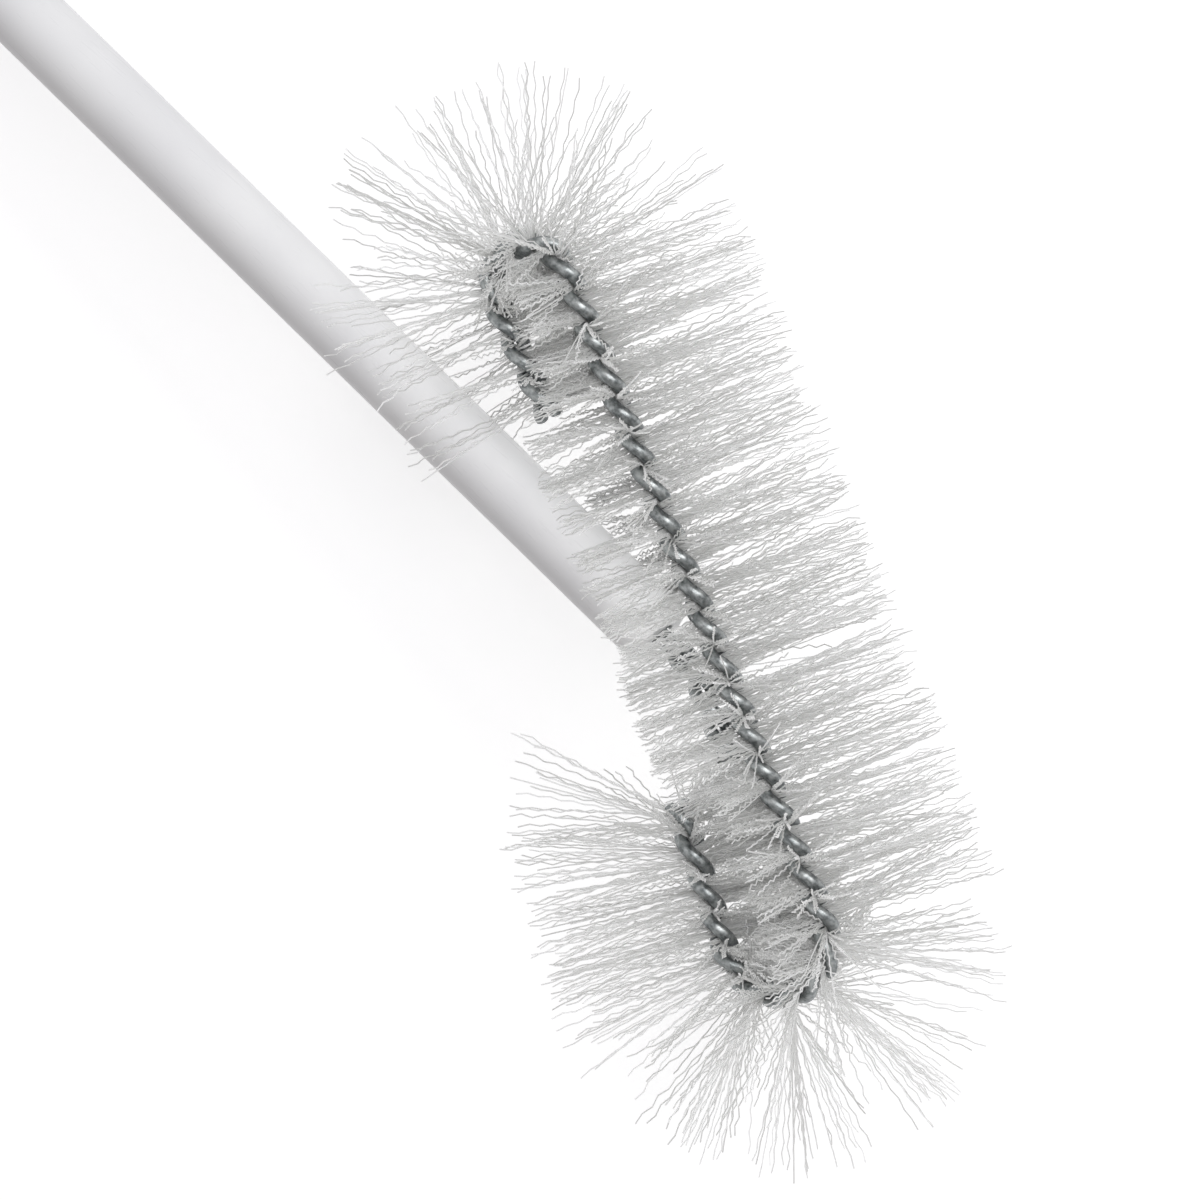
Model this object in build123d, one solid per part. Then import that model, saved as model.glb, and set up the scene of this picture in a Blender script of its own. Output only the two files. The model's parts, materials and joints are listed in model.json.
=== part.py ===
from build123d import *
import math
import os

from scipy.spatial import ConvexHull

# Handle, a plain plastic rod with a blind socket for the stem
handle_diameter = 9.5
handle_length = 255.0
mouth_round_share = 0.3
tip_round_share = 0.75
socket_depth = 40.0
socket_end_room = 1.0
socket_clearance = 0.02

# Twisted wire, two round wires modelled with flat sides
wire_diameter = 1.7
wire_sides = 6
twist_pitch = 9.6
chords_per_turn = 12
core_clearance = 0.03

# Head, a straight back run with a bend and a short return run at each end
near_run = 59.0
near_bend_radius = 5.5
near_return = 15.5
far_run = 28.0
far_bend_radius = 7.3
far_return = 19.5
return_lean_deg = 4.0

# Stem, bent once outside the handle and lapped along the back run
handle_angle_deg = 27.0
stem_bend_radius = 8.0
lap_length = 10.0
lap_clearance = 0.02
mouth_clearance = 0.5

# Bristles, nylon filaments held at their middle between the two wires
filament_thickness = 0.35
filaments_per_turn = 24
bristle_length = 24.0
inner_length = 14.0
full_trim_share = 0.5
bristle_clearance = 0.4
handle_clearance = 1.6
bend_clearance = 1.5
bare_end = 1.2
trim_step = 0.25
surface_steps = 48

# Values that follow from the sizes above
wire_radius = wire_diameter / 2
handle_radius = handle_diameter / 2
wire_orbit = (wire_radius + filament_thickness / 2 + core_clearance) / math.cos(math.pi / chords_per_turn)
core_radius = wire_orbit + wire_radius
socket_radius = core_radius + socket_clearance
lap_spacing = 2 * core_radius + lap_clearance
handle_angle = math.radians(handle_angle_deg)
return_lean = math.radians(return_lean_deg)

# The head lies in the XY plane, with the handle along +X and the back run at the handle angle to it
run_way = Vector(math.cos(handle_angle), -math.sin(handle_angle), 0)
inner_way = Vector(math.sin(handle_angle), math.cos(handle_angle), 0)
plane_normal = Vector(0, 0, 1)


class CoreLine:
    """A flat line of straight runs and arcs, measured along its length from a chosen zero."""

    def __init__(self, start, way, pieces):
        self.pieces = []
        at, heading = start, way
        for length, turn in pieces:
            self.pieces.append((length, turn, at, heading))
            at, heading = self.step(at, heading, length, turn, length)
        self.length = sum(length for length, _ in pieces)

    def step(self, at, heading, length, turn, along):
        """The point and heading at a distance along one piece that turns by a whole angle."""
        side = plane_normal.cross(heading)
        if turn == 0:
            return at + heading * along, heading
        radius = length / turn
        swept = along / radius
        point = at + heading * (radius * math.sin(swept)) + side * (radius * (1 - math.cos(swept)))
        return point, heading * math.cos(swept) + side * math.sin(swept)

    def piece_at(self, along):
        """The number of the piece that holds a place, and how far into it the place is."""
        for number, (length, _, _, _) in enumerate(self.pieces):
            if along <= length or number == len(self.pieces) - 1:
                return number, along
            along -= length

    def frame(self, along):
        """The point, the heading and the flat side direction at a place on the line."""
        number, within = self.piece_at(along)
        length, turn, at, heading = self.pieces[number]
        point, way = self.step(at, heading, length, turn, within)
        return point, way, plane_normal.cross(way)


def turned(frame, angle, distance):
    """The point at a distance from the core line, at an angle round it from the side direction."""
    point, _, side = frame
    return point + side * (distance * math.cos(angle)) + plane_normal * (distance * math.sin(angle))


def twist_angle(along, zero):
    """The left-handed twist of the pair, which points along the side direction at its zero."""
    return -math.tau * (along - zero) / twist_pitch


def meet(point, way, corner, normal):
    """Where a line through a point meets a plane."""
    return point + way * ((corner - point).dot(normal) / way.dot(normal))


def flat_sided_wire(line, zero, phase):
    """One wire of a twisted pair, mitred at every chord so that its sides stay flat."""
    chord = twist_pitch / chords_per_turn
    first = -int(zero / chord)
    last = int((line.length - zero) / chord)
    places = [zero + number * chord for number in range(first, last + 1)]
    spine = [turned(line.frame(place), twist_angle(place, zero) + phase, wire_orbit) for place in places]
    ways = [(after - before).normalized() for before, after in zip(spine, spine[1:])]
    normals = [ways[0], *[(a + b).normalized() for a, b in zip(ways, ways[1:])], ways[-1]]
    outward = (spine[-first] - line.frame(zero)[0]).normalized()
    across = normals[-first].cross(outward)
    angles = [math.tau * number / wire_sides for number in range(wire_sides)]
    corners = [(outward * math.cos(angle) + across * math.sin(angle)) * wire_radius for angle in angles]
    rings = [None] * len(spine)
    rings[-first] = [spine[-first] + corner for corner in corners]
    for number in range(-first, len(ways)):
        after = number + 1
        rings[after] = [meet(point, ways[number], spine[after], normals[after]) for point in rings[number]]
    for number in reversed(range(-first)):
        after = number + 1
        rings[number] = [meet(point, ways[number], spine[number], normals[number]) for point in rings[after]]
    faces = [Face(Wire.make_polygon(rings[0])), Face(Wire.make_polygon(rings[-1]))]
    for ring, after in zip(rings, rings[1:]):
        for side in range(wire_sides):
            beside = (side + 1) % wire_sides
            faces.append(Face(Wire.make_polygon([ring[side], ring[beside], after[beside], after[side]])))
    return Solid(Shell(faces))


def twisted_pair(line, zero):
    """Both wires of a pair, half a turn apart."""
    return flat_sided_wire(line, zero, 0), flat_sided_wire(line, zero, math.pi)


def distance_to(point, run):
    """The distance from a point to a straight run."""
    start, end = run
    span = end - start
    share = min(max((point - start).dot(span) / span.dot(span), 0), 1)
    return (point - start - span * share).length


def free_reach(point, way, longest, walls, rivals):
    """How far a bristle goes before it meets a wall or comes nearer to another run than to its own."""
    reach = core_radius
    while reach + trim_step <= longest:
        tip = point + way * (reach + trim_step)
        if any(distance_to(tip, run) < keep for run, keep in walls):
            break
        if any(distance_to(tip, run) < reach + bristle_clearance for run in rivals):
            break
        reach += trim_step
    return reach


def filament(point, heading, way, forward, backward):
    """One straight three-sided filament through the core."""
    start = Plane(origin=point - way * backward, x_dir=heading, z_dir=way)
    return extrude(start * RegularPolygon(filament_thickness / math.sqrt(3), 3), amount=forward + backward)


# Core lines of the head and the stem, each followed backwards from the middle of the lap to find its start
near_turn = math.pi + return_lean
far_turn = math.pi + return_lean
near_arc = near_bend_radius * near_turn
far_arc = far_bend_radius * far_turn
lap_middle = Vector(0, 0, 0)
head_back = CoreLine(lap_middle, run_way, [(near_run, 0), (near_arc, near_turn), (near_return, 0)])
head_start, head_way, _ = head_back.frame(head_back.length)
head_pieces = [(near_return, 0), (near_arc, -near_turn), (near_run + far_run, 0)]
head_pieces += [(far_arc, -far_turn), (far_return, 0)]
head_line = CoreLine(head_start, -head_way, head_pieces)

mouth_offset = core_radius + mouth_clearance + handle_radius * math.cos(handle_angle)
bend_offset = lap_spacing + stem_bend_radius * (1 - math.cos(handle_angle))
stem_bare = max((mouth_offset - bend_offset) / math.sin(handle_angle), mouth_clearance)
stem_arc = stem_bend_radius * handle_angle
stem_straight = stem_bare + socket_depth
stem_back_pieces = [(lap_length / 2, 0), (stem_arc, handle_angle), (stem_straight, 0)]
stem_back = CoreLine(lap_middle + inner_way * lap_spacing, run_way, stem_back_pieces)
stem_start, stem_way, _ = stem_back.frame(stem_back.length)
stem_line = CoreLine(stem_start, -stem_way, [(stem_straight, 0), (stem_arc, -handle_angle), (lap_length, 0)])

# Handle
mouth = stem_start - stem_way * socket_depth
handle_tip = mouth + stem_way * handle_length
with BuildPart() as handle_build:
    with BuildSketch(Plane.XY) as handle_profile:
        with Locations((mouth.X, mouth.Y)):
            Rectangle(handle_length, handle_radius, align=(Align.MIN, Align.MIN))
        outer_corners = handle_profile.vertices().group_by(Axis.Y)[-1].sort_by(Axis.X)
        fillet(outer_corners[0], (handle_radius - socket_radius) * mouth_round_share)
        outer_corners = handle_profile.vertices().group_by(Axis.Y)[-1].sort_by(Axis.X)
        fillet(outer_corners[-1], handle_radius * tip_round_share)
        with Locations((mouth.X, mouth.Y)):
            socket_length = socket_depth + socket_end_room
            Rectangle(socket_length, socket_radius, align=(Align.MIN, Align.MIN), mode=Mode.SUBTRACT)
    revolve(axis=Axis(mouth, stem_way))
handle = handle_build.part.solid()

# Twisted wires
head_zero = near_return + near_arc + near_run
stem_zero = stem_straight + stem_arc + lap_length / 2
head_wire_first, head_wire_second = twisted_pair(head_line, head_zero)
stem_wire_first, stem_wire_second = twisted_pair(stem_line, stem_zero)

# Bristles, trimmed where they would meet the handle, the stem, another run or the inside of a bend
stem_corner = mouth - stem_way * (stem_bare + stem_bend_radius * math.tan(handle_angle / 2))
stem_end, _, _ = stem_line.frame(stem_line.length)
stem_keep = core_radius + bristle_clearance
walls = [
    ((mouth, handle_tip), handle_radius + handle_clearance),
    ((mouth, stem_corner), stem_keep),
    ((stem_corner, stem_end), stem_keep),
]
stretches = ["near_return", "near_bend", "back_run", "far_bend", "far_return"]
ends = [(at, head_line.step(at, way, length, turn, length)[0]) for length, turn, at, way in head_line.pieces]
rivals = [[ends[2]], [], [ends[0], ends[4]], [], [ends[2]]]
inner_lengths = [bristle_length, bristle_length, inner_length, bristle_length, bristle_length]


def bristle_reach(frame, way, stretch):
    """The length of one half of a filament, less where it points into the head."""
    point, _, side = frame
    inward = max(-way.dot(side), 0)
    trimmed = min(inward / full_trim_share, 1)
    longest = bristle_length - (bristle_length - inner_lengths[stretch]) * trimmed
    length, turn, _, _ = head_line.pieces[stretch]
    if turn * inward != 0:
        longest = min(longest, (abs(length / turn) - bend_clearance) / inward)
    return free_reach(point, way, longest, walls, rivals[stretch])


spacing = twist_pitch / filaments_per_turn
first = -int((head_zero - bare_end) / spacing)
last = int((head_line.length - head_zero - bare_end) / spacing)
bristles = {stretch: [] for stretch in stretches}
for number in range(first, last):
    place = head_zero + (number + 1 / 2) * spacing
    frame = head_line.frame(place)
    stretch, _ = head_line.piece_at(place)
    way = turned(frame, twist_angle(place, head_zero) + math.pi / 2, 1) - frame[0]
    forward = bristle_reach(frame, way, stretch)
    backward = bristle_reach(frame, -way, stretch)
    bristles[stretches[stretch]].append(filament(frame[0], frame[1], way, forward, backward))

nodes = {
    "handle": [handle],
    "stem_wire_first": [stem_wire_first],
    "stem_wire_second": [stem_wire_second],
    "head_wire_first": [head_wire_first],
    "head_wire_second": [head_wire_second],
}
nodes.update({f"bristles_{stretch}": solids for stretch, solids in bristles.items()})

# The brush lies on the floor on its handle and its bristle tips, with its weight between them
solids = [solid for group in nodes.values() for solid in group]
volume = sum(solid.volume for solid in solids)
weight = sum((solid.center(CenterOf.MASS) * (solid.volume / volume) for solid in solids), Vector(0, 0, 0))
points = [Vector(*corner) for solid in solids[1:] for corner in solid.vertices()]
points += handle.tessellate(core_clearance, math.tau / surface_steps)[0]
hull = ConvexHull([tuple(point) for point in points])


def carries(corners, normal):
    """Whether the weight stands over a face of the hull."""
    sides = zip(corners, corners[1:] + corners[:1])
    leans = [(after - before).cross(weight - before).dot(normal) for before, after in sides]
    return all(lean >= 0 for lean in leans) or all(lean <= 0 for lean in leans)


normals = [Vector(*equation[:3]) for equation in hull.equations]
facets = [[points[number] for number in facet] for facet in hull.simplices]
floors = [normal for normal, corners in zip(normals, facets) if carries(corners, normal)]
floor_normal = min(floors, key=lambda normal: normal.Z)
along_floor = stem_way - floor_normal * stem_way.dot(floor_normal)
rest = Plane(origin=weight, x_dir=along_floor, z_dir=-floor_normal).location.inverse()
box = Compound(solids).moved(rest).bounding_box()
place = Location((-box.center().X, -box.center().Y, -box.min.Z)) * rest

os.makedirs("parts", exist_ok=True)
for name, group in nodes.items():
    export_step(Compound([solid.moved(place) for solid in group]), f"parts/{name}.step")
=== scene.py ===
import json
import math

import bpy
import numpy as np
from mathutils import Matrix, Vector


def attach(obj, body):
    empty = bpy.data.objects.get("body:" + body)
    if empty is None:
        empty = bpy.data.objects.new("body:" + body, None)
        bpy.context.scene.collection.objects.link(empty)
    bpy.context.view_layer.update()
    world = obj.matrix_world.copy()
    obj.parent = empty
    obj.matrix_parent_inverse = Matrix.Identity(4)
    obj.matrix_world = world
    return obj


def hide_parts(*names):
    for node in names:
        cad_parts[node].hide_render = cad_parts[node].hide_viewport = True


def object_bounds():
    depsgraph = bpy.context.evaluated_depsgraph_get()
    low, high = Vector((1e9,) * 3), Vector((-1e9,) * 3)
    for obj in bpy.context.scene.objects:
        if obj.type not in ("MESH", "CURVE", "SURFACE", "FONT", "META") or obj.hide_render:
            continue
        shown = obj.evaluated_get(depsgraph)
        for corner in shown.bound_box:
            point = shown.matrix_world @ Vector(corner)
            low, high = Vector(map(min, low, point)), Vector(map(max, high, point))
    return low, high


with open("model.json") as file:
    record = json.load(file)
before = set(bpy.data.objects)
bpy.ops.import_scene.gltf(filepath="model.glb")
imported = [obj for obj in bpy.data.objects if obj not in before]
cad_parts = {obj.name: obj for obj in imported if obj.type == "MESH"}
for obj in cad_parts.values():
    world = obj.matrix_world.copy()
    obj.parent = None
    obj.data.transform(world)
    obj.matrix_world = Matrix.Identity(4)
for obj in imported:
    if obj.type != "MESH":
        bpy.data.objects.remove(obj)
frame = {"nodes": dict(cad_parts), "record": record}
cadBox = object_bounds()
nodes = frame["nodes"]
mm = 0.001
print("frame loaded:", len(nodes), "nodes")


def linearColor(code):  # sRGB hex to linear RGBA
    parts = [int(code[i:i + 2], 16) / 255 for i in (1, 3, 5)]
    return [p / 12.92 if p <= 0.04045 else ((p + 0.055) / 1.055) ** 2.4 for p in parts] + [1.0]


def addNode(tree, kind, inputs=None, **settings):  # a node with its settings, values and links
    node = tree.nodes.new(kind)
    for name, value in settings.items():
        setattr(node, name, value)
    for socket, value in (inputs or {}).items():
        if isinstance(value, bpy.types.NodeSocket):
            tree.links.new(value, node.inputs[socket])
        else:
            node.inputs[socket].default_value = value
    return node


def newMaterial(name):
    material = bpy.data.materials.new(name)
    material.use_nodes = True
    material.node_tree.nodes.clear()
    return material, material.node_tree


def newTree(name, sockets):  # a geometry tree with named inputs
    tree = bpy.data.node_groups.new(name, "GeometryNodeTree")
    tree.interface.new_socket("Geometry", in_out="INPUT", socket_type="NodeSocketGeometry")
    for label, kind in sockets:
        tree.interface.new_socket(label, in_out="INPUT", socket_type="NodeSocket" + kind)
    tree.interface.new_socket("Geometry", in_out="OUTPUT", socket_type="NodeSocketGeometry")
    return tree


def placed(name, data):  # a new object in the scene
    piece = bpy.data.objects.new(name, data)
    bpy.context.scene.collection.objects.link(piece)
    return piece


def lineMesh(name, points, edges):  # bare edges for a tree to work on
    mesh = bpy.data.meshes.new(name)
    mesh.from_pydata([tuple(p) for p in points], edges, [])
    return placed(name, mesh)


def runTree(piece, tree, values):  # sets the inputs, evaluates once and keeps a plain mesh
    modifier = piece.modifiers.new(tree.name, "NODES")
    modifier.node_group = tree
    for item in tree.interface.items_tree:
        if item.in_out == "INPUT" and item.name in values:
            modifier[item.identifier] = values[item.name]
    graph = bpy.context.evaluated_depsgraph_get()
    made = bpy.data.meshes.new_from_object(piece.evaluated_get(graph), depsgraph=graph)
    lines = piece.data
    piece.modifiers.clear()
    piece.data = made
    bpy.data.meshes.remove(lines)
    made.name = piece.name


def finishPiece(piece, slotName, *replaced):
    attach(piece, "root")
    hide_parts(*replaced)
    piece.data.calc_loop_triangles()
    print(" ", piece.name, len(piece.data.loop_triangles), "triangles")


# The head's plane and core lines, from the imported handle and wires
headSpec = {  # mm and degrees
    "nearReturn": 15.5,
    "nearBendRadius": 5.5,
    "nearRun": 59.0,
    "farRun": 28.0,
    "farBendRadius": 7.3,
    "farReturn": 19.5,
    "returnLeanDeg": 4.0,
    "handleAngleDeg": 27.0,
    "socketDepth": 40.0,
    "stemBare": 4.181,
    "stemBendRadius": 8.0,
    "lapLength": 10.0,
    "lapSpacing": 3.904,
}

grip = frame["record"]["mounts"][0]
handleRadius = grip["dims"]["r_mm"] * mm
handleWay = Vector(grip["axis"]).normalized()
handleAlong = [(v.co - Vector(grip["pos_m"])).dot(handleWay) for v in nodes["handle"].data.vertices]
mouth = Vector(grip["pos_m"]) + handleWay * min(handleAlong)
handleEnd = Vector(grip["pos_m"]) + handleWay * max(handleAlong)
wireCorners = [v.co for name in ("head_wire_first", "head_wire_second") for v in nodes[name].data.vertices]
flattest = Vector(np.linalg.eigh(np.cov(np.array(wireCorners).T))[1][:, 0])  # the head is flat across this
headNormal = (flattest - handleWay * flattest.dot(handleWay)).normalized()
if headNormal.z < 0:
    headNormal.negate()
acrossWay = headNormal.cross(handleWay)
handleAngle = math.radians(headSpec["handleAngleDeg"])
runWay = handleWay * math.cos(handleAngle) - acrossWay * math.sin(handleAngle)
innerWay = handleWay * math.sin(handleAngle) + acrossWay * math.cos(handleAngle)


def stepAlong(at, heading, length, turn, along):  # point and heading some way into a run or an arc
    if turn == 0:
        return at + heading * along, heading
    side = headNormal.cross(heading)
    radius, swept = length / turn, along * turn / length
    point = at + heading * (radius * math.sin(swept)) + side * (radius * (1 - math.cos(swept)))
    return point, heading * math.cos(swept) + side * math.sin(swept)


def coreLine(at, heading, pieces):  # runs and arcs, each with its start and heading
    line, done = [], 0.0
    for length, turn in pieces:
        line.append({"from": done, "length": length, "turn": turn, "at": at, "heading": heading})
        at, heading = stepAlong(at, heading, length, turn, length)
        done += length
    return line


def placeOn(line, along):  # point, heading and piece number at a length along the line
    number = max(i for i, piece in enumerate(line) if piece["from"] <= along or i == 0)
    piece = line[number]
    within = along - piece["from"]
    point, heading = stepAlong(piece["at"], piece["heading"], piece["length"], piece["turn"], within)
    return point, heading, number


stemBend = headSpec["stemBendRadius"] * mm
bendStart = mouth - handleWay * (headSpec["stemBare"] * mm)
bendStart -= runWay * (stemBend * math.sin(handleAngle)) + innerWay * (stemBend * (1 - math.cos(handleAngle)))
lapMiddle = bendStart - runWay * (headSpec["lapLength"] / 2 * mm) - innerWay * (headSpec["lapSpacing"] * mm)

returnTurn = math.pi + math.radians(headSpec["returnLeanDeg"])
nearReturn, farReturn = headSpec["nearReturn"] * mm, headSpec["farReturn"] * mm
nearRun, farRun = headSpec["nearRun"] * mm, headSpec["farRun"] * mm
nearArc, farArc = headSpec["nearBendRadius"] * mm * returnTurn, headSpec["farBendRadius"] * mm * returnTurn
wayBack = coreLine(lapMiddle, runWay, [(nearRun, 0), (nearArc, returnTurn), (nearReturn, 0)])
headStart, headWay, _ = placeOn(wayBack, nearRun + nearArc + nearReturn)
headLine = coreLine(headStart, -headWay, [
    (nearReturn, 0), (nearArc, -returnTurn), (nearRun + farRun, 0), (farArc, -returnTurn), (farReturn, 0),
])
headLength = headLine[-1]["from"] + headLine[-1]["length"]
headZero = nearReturn + nearArc + nearRun

stemStraight = (headSpec["stemBare"] + headSpec["socketDepth"]) * mm
stemLine = coreLine(mouth + handleWay * (headSpec["socketDepth"] * mm), -handleWay, [
    (stemStraight, 0), (stemBend * handleAngle, -handleAngle), (headSpec["lapLength"] * mm, 0),
])
stemLength = stemLine[-1]["from"] + stemLine[-1]["length"]
stemZero = stemLength - headSpec["lapLength"] / 2 * mm
print("core lines: head %.1f mm, stem %.1f mm" % (headLength / mm, stemLength / mm))


# Twisted wire
wireSpec = {  # mm
    "diameter": 1.7,
    "orbit": 1.0,  # from the core line to each wire's middle
    "pitch": 9.6,
    "step": 0.25,
    "sides": 16,
    "lightSteel": "#AEB1B1",
    "darkSteel": "#666A6B",
    "darkBelow": 0.35,  # where the zinc grain is all dark
    "lightAbove": 0.68,
    "smoothest": 0.22,  # roughness
    "roughest": 0.44,
    "spangle": 0.9,  # zinc grain
    "spangleDetail": 3.0,
    "spangleRoughness": 0.6,
    "drawLine": 0.12,  # die marks
    "drawDetail": 2.0,
    "drawDepth": 0.02,
    "drawStrength": 0.15,
}
coreRadius = (wireSpec["orbit"] + wireSpec["diameter"] / 2) * mm


def galvanisedSteel():  # drawn wire with a zinc coat: dull grey, darker patches, sharp small glints
    material, tree = newMaterial("galvanisedSteelWire")
    place = addNode(tree, "ShaderNodeTexCoord").outputs["Object"]
    spangle = addNode(tree, "ShaderNodeTexNoise", {
        "Vector": place, "Scale": 1 / (wireSpec["spangle"] * mm), "Detail": wireSpec["spangleDetail"],
        "Roughness": wireSpec["spangleRoughness"],
    })
    shade = addNode(tree, "ShaderNodeValToRGB", {"Fac": spangle.outputs["Fac"]})
    shade.color_ramp.elements[0].position = wireSpec["darkBelow"]
    shade.color_ramp.elements[0].color = linearColor(wireSpec["darkSteel"])
    shade.color_ramp.elements[1].position = wireSpec["lightAbove"]
    shade.color_ramp.elements[1].color = linearColor(wireSpec["lightSteel"])
    marks = addNode(tree, "ShaderNodeTexNoise", {
        "Vector": place, "Scale": 1 / (wireSpec["drawLine"] * mm), "Detail": wireSpec["drawDetail"],
    })
    rough = addNode(tree, "ShaderNodeMapRange", {
        "Value": spangle.outputs["Fac"], "To Min": wireSpec["smoothest"], "To Max": wireSpec["roughest"],
    })
    bump = addNode(tree, "ShaderNodeBump", {
        "Height": marks.outputs["Fac"], "Strength": wireSpec["drawStrength"], "Distance": wireSpec["drawDepth"] * mm,
    })
    surface = addNode(tree, "ShaderNodeBsdfPrincipled", {
        "Base Color": shade.outputs["Color"], "Metallic": 1.0, "Roughness": rough.outputs["Result"],
        "Normal": bump.outputs["Normal"],
    })
    addNode(tree, "ShaderNodeOutputMaterial", {"Surface": surface.outputs["BSDF"]})
    return material


def twistedWireTree():  # one wire of a pair, wound left-handed round the core line
    tree = newTree("twistedWire", [
        ("Diameter", "Float"), ("Orbit", "Float"), ("Pitch", "Float"), ("Zero", "Float"), ("Phase", "Float"),
        ("Head Normal", "Vector"), ("Step", "Float"), ("Sides", "Int"), ("Material", "Material"),
    ])
    given = addNode(tree, "NodeGroupInput").outputs
    core = addNode(tree, "GeometryNodeMeshToCurve", {"Mesh": given["Geometry"]})
    core = addNode(tree, "GeometryNodeResampleCurve", {
        "Curve": core.outputs["Curve"], "Length": given["Step"],
    }, mode="LENGTH")
    along = addNode(tree, "GeometryNodeSplineParameter").outputs["Length"]
    fromZero = addNode(tree, "ShaderNodeMath", {0: given["Zero"], 1: along}, operation="SUBTRACT")
    turns = addNode(tree, "ShaderNodeMath", {0: fromZero.outputs[0], 1: given["Pitch"]}, operation="DIVIDE")
    angle = addNode(tree, "ShaderNodeMath", {
        0: turns.outputs[0], 1: math.tau, 2: given["Phase"],
    }, operation="MULTIPLY_ADD").outputs[0]
    heading = addNode(tree, "GeometryNodeInputTangent").outputs["Tangent"]
    normal = given["Head Normal"]
    side = addNode(tree, "ShaderNodeVectorMath", {0: normal, 1: heading}, operation="CROSS_PRODUCT").outputs[0]
    cosine = addNode(tree, "ShaderNodeMath", {0: angle}, operation="COSINE").outputs[0]
    sine = addNode(tree, "ShaderNodeMath", {0: angle}, operation="SINE").outputs[0]
    level = addNode(tree, "ShaderNodeVectorMath", {0: side, "Scale": cosine}, operation="SCALE").outputs[0]
    upright = addNode(tree, "ShaderNodeVectorMath", {0: normal, "Scale": sine}, operation="SCALE").outputs[0]
    around = addNode(tree, "ShaderNodeVectorMath", {0: level, 1: upright}, operation="ADD").outputs[0]
    offset = addNode(tree, "ShaderNodeVectorMath", {0: around, "Scale": given["Orbit"]}, operation="SCALE").outputs[0]
    wound = addNode(tree, "GeometryNodeSetPosition", {"Geometry": core.outputs["Curve"], "Offset": offset})
    radius = addNode(tree, "ShaderNodeMath", {0: given["Diameter"], 1: 2.0}, operation="DIVIDE").outputs[0]
    section = addNode(tree, "GeometryNodeCurvePrimitiveCircle", {"Resolution": given["Sides"], "Radius": radius})
    wire = addNode(tree, "GeometryNodeCurveToMesh", {
        "Curve": wound.outputs["Geometry"], "Profile Curve": section.outputs["Curve"], "Fill Caps": True,
    })
    smooth = addNode(tree, "GeometryNodeSetShadeSmooth", {"Geometry": wire.outputs["Mesh"]})
    real = addNode(tree, "GeometryNodeRealizeInstances", {"Geometry": smooth.outputs["Geometry"]})
    steel = addNode(tree, "GeometryNodeSetMaterial", {
        "Geometry": real.outputs["Geometry"], "Material": given["Material"],
    })
    addNode(tree, "NodeGroupOutput", {"Geometry": steel.outputs["Geometry"]})
    return tree


def twistedPair(label, line, length, zero, tree, material):
    places = np.linspace(0, length, round(length / (wireSpec["step"] * mm)) + 1)
    points = [placeOn(line, along)[0] for along in places]
    for name, phase in (("first", 0.0), ("second", math.pi)):
        wire = lineMesh(f"{label}Wire.{name}", points, [(i, i + 1) for i in range(len(points) - 1)])
        runTree(wire, tree, {
            "Diameter": wireSpec["diameter"] * mm, "Orbit": wireSpec["orbit"] * mm,
            "Pitch": wireSpec["pitch"] * mm, "Zero": zero, "Phase": phase, "Head Normal": headNormal,
            "Step": wireSpec["step"] * mm, "Sides": wireSpec["sides"], "Material": material,
        })
        finishPiece(wire, "core_wire", f"{label}_wire_{name}")


print("twisted wire")
wireTree, steelWire = twistedWireTree(), galvanisedSteel()
twistedPair("head", headLine, headLength, headZero, wireTree, steelWire)
twistedPair("stem", stemLine, stemLength, stemZero, wireTree, steelWire)


# Nylon bristles
bristleSpec = {  # mm and degrees
    "tuftsPerTurn": 24,
    "endsPerTuft": 5,  # on each side of the core
    "nearEndsPerTuft": 2,  # on the near return, beside the handle
    "loopEndsPerTuft": 10,  # under the two loops
    "length": 24.0,
    "nearLength": 19.0,
    "innerLength": 13.6,  # inside the long run
    "loopLength": 9.5,  # on top of the two loops, where a return faces the long run
    "fullTrimShare": 0.5,
    "loopLeanShare": 0.25,  # how far the loops' trim and density go over the top
    "raggedShare": 0.1,  # how much shorter some ends are
    "thickness": 0.22,
    "sides": 3,
    "segments": 15,
    "crimp": 0.26,  # height of the waves
    "crimpLeastShare": 0.25,  # the lowest wave
    "crimpGrowth": 5.0,  # the waves are full from one fifth of the length
    "bow": 0.5,  # how far a tip bends aside
    "tuftSpreadDeg": 6.0,
    "endSpreadDeg": 6.0,
    "tuftLeanDeg": 2.5,
    "endLeanDeg": 4.0,
    "bendLooseness": 2.0,  # times the lean, on the bends
    "nearSplayDeg": 6.0,  # how far the last tufts lean off each end of the core
    "farSplayDeg": 34.0,
    "splayLength": 10.0,
    "splayShares": (0.4, 1.6),  # how much one end follows that lean
    "bareEnd": 1.2,
    "handleRoom": 0.9,
    "wireRoom": 0.4,
    "edgeRoom": 0.6,
    "bendChords": 6,
    "reachStart": 3.0,
    "reachStep": 0.25,
    "pushStepDeg": 5.0,  # an end that meets the handle or stem is pushed off the head's plane by these steps
    "pushSteps": 18,
    "handleOverDeg": 16.0,  # ends that point further up than this go over the handle, the rest go under
    "mouthOverDeg": -45.0,  # the same at the handle's mouth and along the stem
    "mouthLength": 3.0,
    "pieceTriangles": 180000,  # a longer stretch is split
    "seed": 7,
    "clearNylon": "#E9E9E8",
    "milkyNylon": "#FCFCFC",
    "throughShare": 0.85,  # light that scatters through the filament
    "clearShare": 1.0,  # lamp light that goes straight through
    "smoothest": 0.3,  # roughness
    "roughest": 0.45,
    "ior": 1.53,
}


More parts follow.
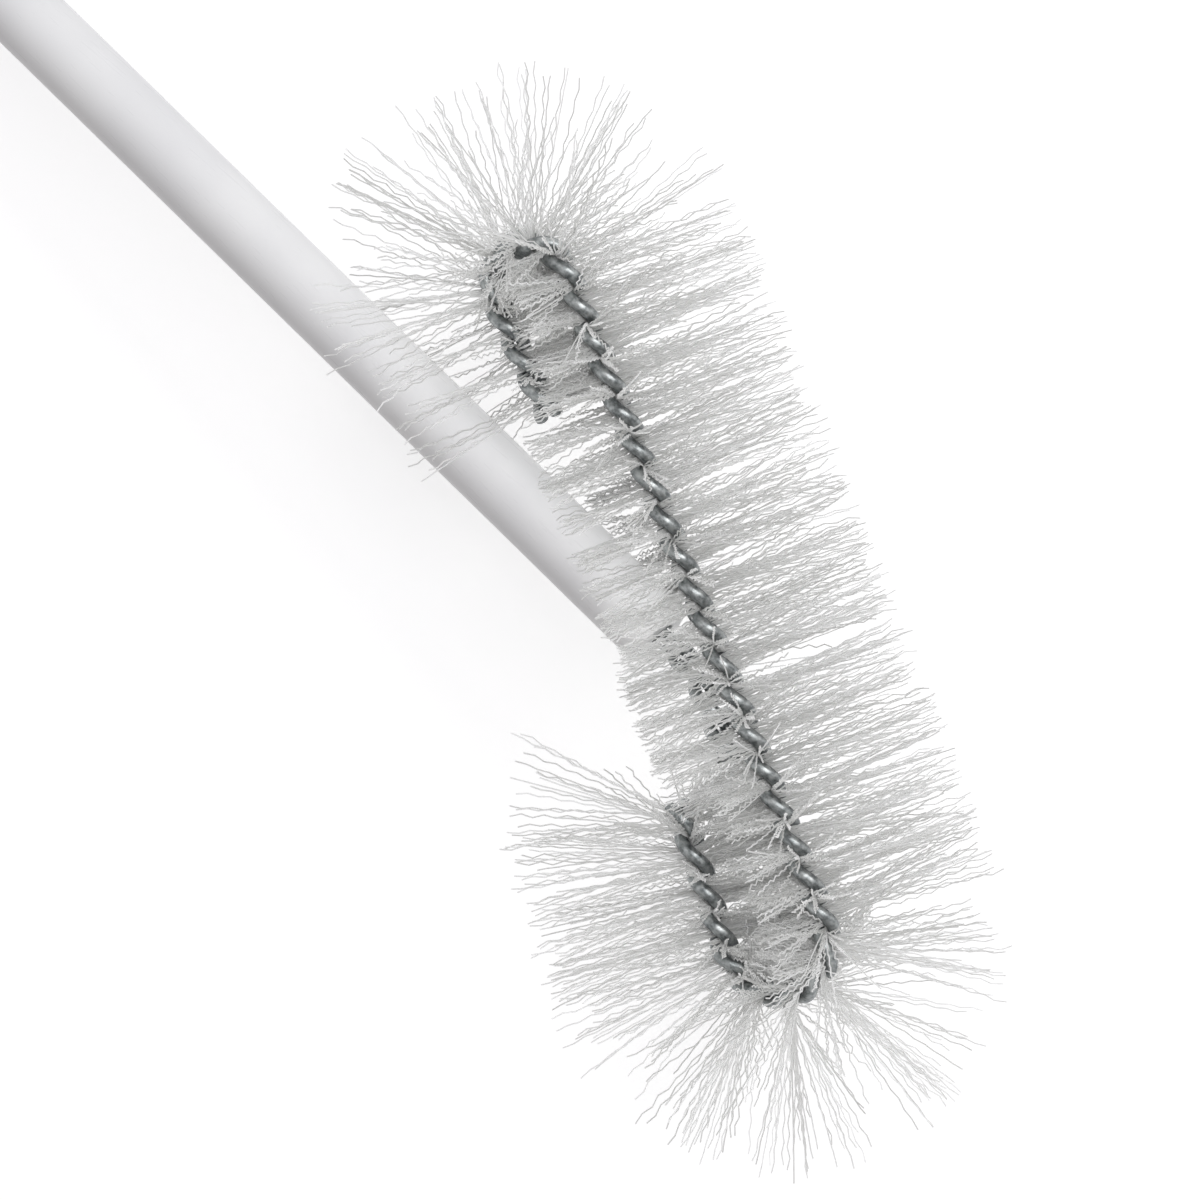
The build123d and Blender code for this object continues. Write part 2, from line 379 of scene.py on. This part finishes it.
def nylon():  # crimped filament, half clear: white where it is thick or lit from behind, grey at its edges
    material, tree = newMaterial("crimpedNylon")
    strand = addNode(tree, "ShaderNodeAttribute", attribute_name="strand").outputs["Fac"]
    shade = addNode(tree, "ShaderNodeValToRGB", {"Fac": strand})
    shade.color_ramp.elements[0].color = linearColor(bristleSpec["clearNylon"])
    shade.color_ramp.elements[1].color = linearColor(bristleSpec["milkyNylon"])
    rough = addNode(tree, "ShaderNodeMapRange", {
        "Value": strand, "To Min": bristleSpec["smoothest"], "To Max": bristleSpec["roughest"],
    })
    surface = addNode(tree, "ShaderNodeBsdfPrincipled", {
        "Base Color": shade.outputs["Color"], "Roughness": rough.outputs["Result"], "IOR": bristleSpec["ior"],
    })
    through = addNode(tree, "ShaderNodeBsdfTranslucent", {"Color": shade.outputs["Color"]})
    both = addNode(tree, "ShaderNodeMixShader", {
        "Fac": bristleSpec["throughShare"], 1: surface.outputs["BSDF"], 2: through.outputs["BSDF"],
    })
    shadow = addNode(tree, "ShaderNodeLightPath").outputs["Is Shadow Ray"]
    clear = addNode(tree, "ShaderNodeMath", {0: shadow, 1: bristleSpec["clearShare"]}, operation="MULTIPLY")
    straight = addNode(tree, "ShaderNodeBsdfTransparent")
    lit = addNode(tree, "ShaderNodeMixShader", {
        "Fac": clear.outputs[0], 1: both.outputs["Shader"], 2: straight.outputs["BSDF"],
    })
    addNode(tree, "ShaderNodeOutputMaterial", {"Surface": lit.outputs["Shader"]})
    return material


def bristleTree():  # each edge becomes a crimped, slightly bowed filament
    tree = newTree("crimpedBristles", [
        ("Thickness", "Float"), ("Sides", "Int"), ("Segments", "Int"), ("Crimp", "Float"), ("Least Crimp", "Float"),
        ("Crimp Growth", "Float"), ("Bow", "Float"), ("Seed", "Int"), ("Material", "Material"),
    ])
    given = addNode(tree, "NodeGroupInput").outputs
    lines = addNode(tree, "GeometryNodeMeshToCurve", {"Mesh": given["Geometry"]})
    lines = addNode(tree, "GeometryNodeResampleCurve", {
        "Curve": lines.outputs["Curve"], "Count": given["Segments"],
    }, mode="COUNT")
    inCurve = addNode(tree, "GeometryNodeCurveOfPoint").outputs
    share = addNode(tree, "GeometryNodeSplineParameter").outputs["Factor"]
    heading = addNode(tree, "GeometryNodeInputTangent").outputs["Tangent"]
    anyWay = addNode(tree, "FunctionNodeRandomValue", {
        0: (-1, -1, -1), 1: (1, 1, 1), "ID": inCurve["Curve Index"], "Seed": given["Seed"],
    }, data_type="FLOAT_VECTOR").outputs[0]
    aside = addNode(tree, "ShaderNodeVectorMath", {0: heading, 1: anyWay}, operation="CROSS_PRODUCT").outputs[0]
    across = addNode(tree, "ShaderNodeVectorMath", {0: aside}, operation="NORMALIZE").outputs[0]
    square = addNode(tree, "ShaderNodeVectorMath", {0: heading, 1: across}, operation="CROSS_PRODUCT")
    # crimp: every other point is pushed to the other side, by an uneven height
    odd = addNode(tree, "ShaderNodeMath", {0: inCurve["Index in Curve"], 1: 2.0}, operation="MODULO")
    flip = addNode(tree, "ShaderNodeMath", {0: odd.outputs[0], 1: 2.0, 2: -1.0}, operation="MULTIPLY_ADD")
    uneven = addNode(tree, "FunctionNodeRandomValue", {
        2: given["Least Crimp"], 3: 1.0, "Seed": given["Seed"],
    }, data_type="FLOAT").outputs[1]
    height = addNode(tree, "ShaderNodeMath", {0: flip.outputs[0], 1: uneven}, operation="MULTIPLY").outputs[0]
    height = addNode(tree, "ShaderNodeMath", {0: height, 1: given["Crimp"]}, operation="MULTIPLY").outputs[0]
    grown = addNode(tree, "ShaderNodeMath", {
        0: share, 1: given["Crimp Growth"],
    }, operation="MULTIPLY", use_clamp=True).outputs[0]
    height = addNode(tree, "ShaderNodeMath", {0: height, 1: grown}, operation="MULTIPLY").outputs[0]
    wave = addNode(tree, "ShaderNodeVectorMath", {0: across, "Scale": height}, operation="SCALE")
    # bow: grows with the square of the length
    squared = addNode(tree, "ShaderNodeMath", {0: share, 1: 2.0}, operation="POWER")
    bowed = addNode(tree, "ShaderNodeMath", {0: squared.outputs[0], 1: given["Bow"]}, operation="MULTIPLY")
    bow = addNode(tree, "ShaderNodeVectorMath", {
        0: square.outputs[0], "Scale": bowed.outputs[0],
    }, operation="SCALE")
    offset = addNode(tree, "ShaderNodeVectorMath", {0: wave.outputs[0], 1: bow.outputs[0]}, operation="ADD")
    strand = addNode(tree, "FunctionNodeRandomValue", {
        2: 0.0, 3: 1.0, "ID": inCurve["Curve Index"], "Seed": given["Seed"],
    }, data_type="FLOAT").outputs[1]
    lines = addNode(tree, "GeometryNodeStoreNamedAttribute", {
        "Geometry": lines.outputs["Curve"], "Name": "strand", "Value": strand,
    }, data_type="FLOAT", domain="POINT")
    crimped = addNode(tree, "GeometryNodeSetPosition", {
        "Geometry": lines.outputs["Geometry"], "Offset": offset.outputs[0],
    })
    radius = addNode(tree, "ShaderNodeMath", {0: given["Thickness"], 1: 2.0}, operation="DIVIDE").outputs[0]
    section = addNode(tree, "GeometryNodeCurvePrimitiveCircle", {"Resolution": given["Sides"], "Radius": radius})
    strands = addNode(tree, "GeometryNodeCurveToMesh", {
        "Curve": crimped.outputs["Geometry"], "Profile Curve": section.outputs["Curve"], "Fill Caps": True,
    })
    smooth = addNode(tree, "GeometryNodeSetShadeSmooth", {"Geometry": strands.outputs["Mesh"]})
    real = addNode(tree, "GeometryNodeRealizeInstances", {"Geometry": smooth.outputs["Geometry"]})
    nylonSet = addNode(tree, "GeometryNodeSetMaterial", {
        "Geometry": real.outputs["Geometry"], "Material": given["Material"],
    })
    addNode(tree, "NodeGroupOutput", {"Geometry": nylonSet.outputs["Geometry"]})
    return tree


def toSegment(points, start, end):  # distance of many points from a straight run
    start, span = np.array(start), np.array(end) - np.array(start)
    share = np.clip((points - start) @ span / (span @ span), 0, 1)
    return np.linalg.norm(points - start - share[..., None] * span, axis=-1)


def chords(piece):  # a run as one chord, an arc as several
    count = bristleSpec["bendChords"] if piece["turn"] else 1
    shares = np.linspace(0, piece["length"], count + 1)
    ends = [stepAlong(piece["at"], piece["heading"], piece["length"], piece["turn"], s)[0] for s in shares]
    return list(zip(ends, ends[1:]))


def besideReturn(along):  # on a return, a bend or the part of the long run that faces a return
    run = headLine[2]
    return not nearReturn < along - run["from"] < run["length"] - farReturn


def endSplay(along):  # lean of the tufts near the core's two ends
    splayLength = bristleSpec["splayLength"] * mm
    nearEnd = max(1 - along / splayLength, 0)
    farEnd = max(1 - (headLength - along) / splayLength, 0)
    nearSplay, farSplay = math.radians(bristleSpec["nearSplayDeg"]), math.radians(bristleSpec["farSplayDeg"])
    return farSplay * farEnd - nearSplay * nearEnd


def endCount(along, turn):  # dense under the loops, thin beside the handle
    if besideReturn(along) and math.cos(turn) < 0 and math.sin(turn) < bristleSpec["loopLeanShare"]:
        return bristleSpec["loopEndsPerTuft"]
    return bristleSpec["nearEndsPerTuft" if along < nearReturn else "endsPerTuft"]


def bristleEnds(rng):  # each end's root and frame, its turn about the core, lean, trim and stretch, tuft by tuft
    spacing = wireSpec["pitch"] * mm / bristleSpec["tuftsPerTurn"]
    bare = bristleSpec["bareEnd"] * mm
    first, last = -int((headZero - bare) / spacing), int((headLength - headZero - bare) / spacing)
    columns = ("root", "heading", "side", "turn", "lean", "ragged", "loop", "stretch")
    rows = {name: [] for name in columns}
    for number in range(first, last):
        along = headZero + (number + 0.5) * spacing
        twist = -math.tau * (along - headZero) / (wireSpec["pitch"] * mm) + math.pi / 2
        for halfTurn in (0.0, math.pi):
            tuftTurn = twist + halfTurn + rng.normal(0, math.radians(bristleSpec["tuftSpreadDeg"]))
            loose = bristleSpec["bendLooseness"] if headLine[placeOn(headLine, along)[2]]["turn"] else 1.0
            tuftLean = rng.normal(0, loose * math.radians(bristleSpec["tuftLeanDeg"]))
            for _ in range(endCount(along, tuftTurn)):
                root, heading, stretch = placeOn(headLine, along + rng.uniform(-0.5, 0.5) * spacing)
                rows["root"].append(root)
                rows["heading"].append(heading)
                rows["side"].append(headNormal.cross(heading))
                rows["turn"].append(tuftTurn + rng.normal(0, math.radians(bristleSpec["endSpreadDeg"])))
                lean = tuftLean + rng.normal(0, loose * math.radians(bristleSpec["endLeanDeg"]))
                rows["lean"].append(lean + endSplay(along) * rng.uniform(*bristleSpec["splayShares"]))
                rows["ragged"].append(1 - bristleSpec["raggedShare"] * rng.random())
                rows["loop"].append(besideReturn(along))
                rows["stretch"].append(stretch)
    return {name: np.array(values) for name, values in rows.items()}


def endWays(ends):
    out = ends["side"] * np.cos(ends["turn"])[:, None] + np.array(headNormal) * np.sin(ends["turn"])[:, None]
    return out * np.cos(ends["lean"])[:, None] + ends["heading"] * np.sin(ends["lean"])[:, None]


def freeReach(ends):  # how far each end goes, and whether a solid stopped it
    ways = endWays(ends)
    onLoop = ends["loop"] & (ways @ np.array(headNormal) > 0)
    inward = -(ways * ends["side"]).sum(axis=1) + np.where(onLoop, bristleSpec["loopLeanShare"], 0)
    trimmed = np.clip(inward / bristleSpec["fullTrimShare"], 0, 1)
    inner = np.where(onLoop, bristleSpec["loopLength"], bristleSpec["innerLength"])
    outer = np.where(ends["stretch"] == 0, bristleSpec["nearLength"], bristleSpec["length"])
    limits = (outer - (outer - inner) * trimmed) * ends["ragged"] * mm
    shortest, step = bristleSpec["reachStart"] * mm, bristleSpec["reachStep"] * mm
    reaches = np.arange(shortest, bristleSpec["length"] * mm + step / 2, step)
    points = ends["root"][:, None, :] + ways[:, None, :] * reaches[None, :, None]
    edge = bristleSpec["edgeRoom"] * mm
    low, high = np.array(cadBox[0]) + edge, np.array(cadBox[1]) - edge
    low[2] = bristleSpec["thickness"] * mm
    cut = (reaches[None, :] > limits[:, None]) | np.any((points < low) | (points > high), axis=-1)
    room = bristleSpec["wireRoom"] * mm + coreRadius
    met = toSegment(points, mouth, handleEnd) < handleRadius + bristleSpec["handleRoom"] * mm
    for piece in stemLine:
        for start, end in chords(piece):
            met |= toSegment(points, start, end) < room
    for number, piece in enumerate(headLine):
        others = ends["stretch"] != number
        ownBend = reaches > abs(piece["length"] / piece["turn"]) if piece["turn"] else reaches < 0
        for start, end in chords(piece):
            near = toSegment(points, start, end) < room
            cut |= near & (others[:, None] | ownBend[None, :])
    blocked = cut | met
    firstBlocked = np.where(blocked.any(axis=1), blocked.argmax(axis=1), len(reaches))
    firstMet = np.where(met.any(axis=1), met.argmax(axis=1), len(reaches))
    reach = np.where(firstBlocked > 0, reaches[np.maximum(firstBlocked - 1, 0)], coreRadius)
    return reach, (firstMet <= firstBlocked) & (firstMet < len(reaches))


def pushedAside(ends):  # ends that meet a solid swing off the head's plane until they pass it
    reach, met = freeReach(ends)
    alongHandle = (ends["root"] - np.array(mouth)) @ np.array(runWay) > bristleSpec["mouthLength"] * mm
    overFrom = np.where(alongHandle, bristleSpec["handleOverDeg"], bristleSpec["mouthOverDeg"])
    over = np.sin(ends["turn"]) > np.sin(np.radians(overFrom))
    upright = np.where(over, math.pi / 2, -math.pi / 2)
    pushStep = math.radians(bristleSpec["pushStepDeg"])
    for _ in range(bristleSpec["pushSteps"]):
        chosen = np.flatnonzero(met)
        gap = (upright - ends["turn"] + math.pi) % math.tau - math.pi
        ends["turn"][chosen] += np.clip(gap, -pushStep, pushStep)[chosen]
        reach[chosen], met[chosen] = freeReach({name: values[chosen] for name, values in ends.items()})
    return ends["root"] + endWays(ends) * reach[:, None]


print("bristles")
ends = bristleEnds(np.random.default_rng(bristleSpec["seed"]))
tips = pushedAside(ends)
bristlesTree, nylonBristle = bristleTree(), nylon()
endTriangles = bristleSpec["segments"] * bristleSpec["sides"] * 2
for number, name in enumerate(("near_return", "near_bend", "back_run", "far_bend", "far_return")):
    chosen = np.flatnonzero(ends["stretch"] == number)
    parts = np.array_split(chosen, 1 + len(chosen) * endTriangles // bristleSpec["pieceTriangles"])
    for part, members in enumerate(parts):
        corners = np.stack([ends["root"][members], tips[members]], axis=1).reshape(-1, 3)
        edges = [(2 * i, 2 * i + 1) for i in range(len(members))]
        piece = lineMesh(f"bristles.{name}.{part + 1}", corners, edges)
        runTree(piece, bristlesTree, {
            "Thickness": bristleSpec["thickness"] * mm, "Sides": bristleSpec["sides"],
            "Segments": bristleSpec["segments"] + 1, "Crimp": bristleSpec["crimp"] * mm,
            "Least Crimp": bristleSpec["crimpLeastShare"], "Crimp Growth": bristleSpec["crimpGrowth"],
            "Bow": bristleSpec["bow"] * mm, "Seed": bristleSpec["seed"] + number, "Material": nylonBristle,
        })
        finishPiece(piece, "bristles", f"bristles_{name}")
print(" ", len(tips), "ends")


# Handle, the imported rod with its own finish
handleSpec = {  # mm
    "plastic": "#DEDEDF",
    "cloud": "#E6E6E6",
    "cloudSize": 18.0,
    "cloudDetail": 2.0,
    "plasticBelow": 0.35,  # where the clouds begin and end
    "cloudAbove": 0.65,
    "smoothest": 0.24,  # roughness
    "roughest": 0.34,
    "grain": 0.35,  # extrusion grain, drawn coarse enough to show
    "grainStretch": 20.0,  # times longer along the rod
    "grainDetail": 2.0,
    "grainDepth": 0.05,
    "grainStrength": 0.04,
    "ior": 1.49,
}


def whitePlastic():  # extruded polypropylene: smooth, milky, a soft wide gloss with a faint grain
    material, tree = newMaterial("extrudedWhitePlastic")
    place = addNode(tree, "ShaderNodeTexCoord").outputs["Object"]
    cloud = addNode(tree, "ShaderNodeTexNoise", {
        "Vector": place, "Scale": 1 / (handleSpec["cloudSize"] * mm), "Detail": handleSpec["cloudDetail"],
    })
    shade = addNode(tree, "ShaderNodeValToRGB", {"Fac": cloud.outputs["Fac"]})
    shade.color_ramp.elements[0].position = handleSpec["plasticBelow"]
    shade.color_ramp.elements[0].color = linearColor(handleSpec["plastic"])
    shade.color_ramp.elements[1].position = handleSpec["cloudAbove"]
    shade.color_ramp.elements[1].color = linearColor(handleSpec["cloud"])
    stretched = addNode(tree, "ShaderNodeMapping", {
        "Vector": place, "Scale": (1 / handleSpec["grainStretch"], 1.0, 1.0),
    })
    grain = addNode(tree, "ShaderNodeTexNoise", {
        "Vector": stretched.outputs["Vector"], "Scale": 1 / (handleSpec["grain"] * mm),
        "Detail": handleSpec["grainDetail"],
    })
    rough = addNode(tree, "ShaderNodeMapRange", {
        "Value": grain.outputs["Fac"], "To Min": handleSpec["smoothest"], "To Max": handleSpec["roughest"],
    })
    bump = addNode(tree, "ShaderNodeBump", {
        "Height": grain.outputs["Fac"], "Strength": handleSpec["grainStrength"],
        "Distance": handleSpec["grainDepth"] * mm,
    })
    surface = addNode(tree, "ShaderNodeBsdfPrincipled", {
        "Base Color": shade.outputs["Color"], "Roughness": rough.outputs["Result"], "IOR": handleSpec["ior"],
        "Normal": bump.outputs["Normal"],
    })
    addNode(tree, "ShaderNodeOutputMaterial", {"Surface": surface.outputs["BSDF"]})
    return material


print("handle")
handle = nodes["handle"]
handle.data.materials.clear()
handle.data.materials.append(whitePlastic())


# Camera, at the angle that the head is seen from
cameraSpec = {
    "runTurnDeg": 111.6,  # the long run's direction in the picture
    "tiltDeg": -29.0,  # roll of the head about its long run
    "pictureWidth": 150.0,  # mm
    "lapRight": 17.6,  # mm from the picture's middle
    "lapBelow": 13.9,
    "distance": 2.0,  # m
    "clipEnd": 100.0,
    "sensor": 36.0,  # mm
}
tilt, runTurn = math.radians(cameraSpec["tiltDeg"]), math.radians(cameraSpec["runTurnDeg"])
toCamera = innerWay * math.sin(tilt) + headNormal * math.cos(tilt)
acrossRun = innerWay * math.cos(tilt) - headNormal * math.sin(tilt)
pictureRight = runWay * math.cos(runTurn) - acrossRun * math.sin(runTurn)
pictureUp = runWay * math.sin(runTurn) + acrossRun * math.cos(runTurn)
target = lapMiddle - pictureRight * (cameraSpec["lapRight"] * mm) + pictureUp * (cameraSpec["lapBelow"] * mm)


def inPicture(right, up, near):  # a direction in the picture's axes
    return pictureRight * right + pictureUp * up + toCamera * near


camera = placed("camera", bpy.data.cameras.new("camera"))
camera.data.sensor_width = cameraSpec["sensor"]
camera.data.lens = cameraSpec["sensor"] * cameraSpec["distance"] / (cameraSpec["pictureWidth"] * mm)
camera.data.clip_end = cameraSpec["clipEnd"]
turned = Matrix((pictureRight, pictureUp, toCamera)).transposed().to_4x4()
camera.matrix_world = Matrix.Translation(target + toCamera * cameraSpec["distance"]) @ turned
bpy.context.scene.camera = camera
print("camera looks down %.0f degrees" % math.degrees(math.asin(toCamera.z)))


# Floor, world and lamps
stageSpec = {
    "floorSize": 12.0,  # m
    "floor": "#DCDCDC",
    "floorLift": 0.5,  # what the floor shows to the eye beyond its lit colour
    "skyFrom": (0.38, 0.38, 0.84),  # the sky is brightest there, in the picture's axes
    "brightSky": "#FBFBFF",
    "brightLevel": 0.78,
    "brightFacing": 0.75,  # cosine of the angle up to which the sky is bright
    "dimSky": "#FFE6D6",
    "dimLevel": 0.12,
    "dimFacing": -0.45,
}
lampSpec = {  # place in the picture's axes, size and power
    "key": {"from": (0.42, 0.42, 0.8), "size": 0.3, "watts": 2.0},
    "front": {"from": (0.14, 0.16, 0.97), "size": 0.45, "watts": 2.0},
}


def seenByEye(tree):  # 1 for rays that the camera, a gloss or a clear strand sends
    light = addNode(tree, "ShaderNodeLightPath").outputs
    both = addNode(tree, "ShaderNodeMath", {
        0: light["Is Camera Ray"], 1: light["Is Glossy Ray"],
    }, operation="ADD").outputs[0]
    every = addNode(tree, "ShaderNodeMath", {
        0: both, 1: light["Is Transmission Ray"],
    }, operation="ADD", use_clamp=True)
    return every.outputs[0]


def paleFloor():  # pale paper sweep that keeps the shadow
    material, tree = newMaterial("palePaper")
    paper = addNode(tree, "ShaderNodeBsdfDiffuse", {"Color": linearColor(stageSpec["floor"])})
    lift = addNode(tree, "ShaderNodeMath", {
        0: seenByEye(tree), 1: stageSpec["floorLift"],
    }, operation="MULTIPLY")
    glow = addNode(tree, "ShaderNodeEmission", {"Strength": lift.outputs[0]})
    both = addNode(tree, "ShaderNodeAddShader", {0: paper.outputs["BSDF"], 1: glow.outputs["Emission"]})
    addNode(tree, "ShaderNodeOutputMaterial", {"Surface": both.outputs["Shader"]})
    material.cycles.emission_sampling = "NONE"
    return material


half = stageSpec["floorSize"] / 2
floorMesh = bpy.data.meshes.new("floor")
floorCorners = [(-half, -half, 0), (half, -half, 0), (half, half, 0), (-half, half, 0)]
floorMesh.from_pydata(floorCorners, [], [(0, 1, 2, 3)])
floor = placed("floor", floorMesh)
floorMesh.materials.append(paleFloor())

world = bpy.data.worlds.new("softStudio")
world.use_nodes = True
world.cycles.sampling_method = "NONE"
tree = world.node_tree
tree.nodes.clear()
skyWay = inPicture(*stageSpec["skyFrom"]).normalized()
looking = addNode(tree, "ShaderNodeTexCoord").outputs["Generated"]
facing = addNode(tree, "ShaderNodeVectorMath", {0: looking, 1: skyWay}, operation="DOT_PRODUCT")
share = addNode(tree, "ShaderNodeMapRange", {
    "Value": facing.outputs["Value"], "From Min": stageSpec["dimFacing"], "From Max": stageSpec["brightFacing"],
})
shade = addNode(tree, "ShaderNodeValToRGB", {"Fac": share.outputs["Result"]})
for element, side in zip(shade.color_ramp.elements, ("dim", "bright")):
    red, green, blue, _ = linearColor(stageSpec[side + "Sky"])
    element.color = [part * stageSpec[side + "Level"] for part in (red, green, blue)] + [1.0]
sky = addNode(tree, "ShaderNodeBackground", {"Color": shade.outputs["Color"]})
white = addNode(tree, "ShaderNodeBackground", {"Color": (1, 1, 1, 1)})
both = addNode(tree, "ShaderNodeMixShader", {
    "Fac": seenByEye(tree), 1: sky.outputs["Background"], 2: white.outputs["Background"],
})
addNode(tree, "ShaderNodeOutputWorld", {"Surface": both.outputs["Shader"]})
bpy.context.scene.world = world

for name, lamp in lampSpec.items():
    light = placed(name, bpy.data.lights.new(name, "AREA"))
    light.data.energy, light.data.size = lamp["watts"], lamp["size"]
    away = inPicture(*lamp["from"])
    light.location = target + away
    light.rotation_mode = "QUATERNION"
    light.rotation_quaternion = away.to_track_quat("Z", "Y")
    light.visible_camera = False
print("stage set")

bpy.context.scene.view_settings.view_transform = "Standard"
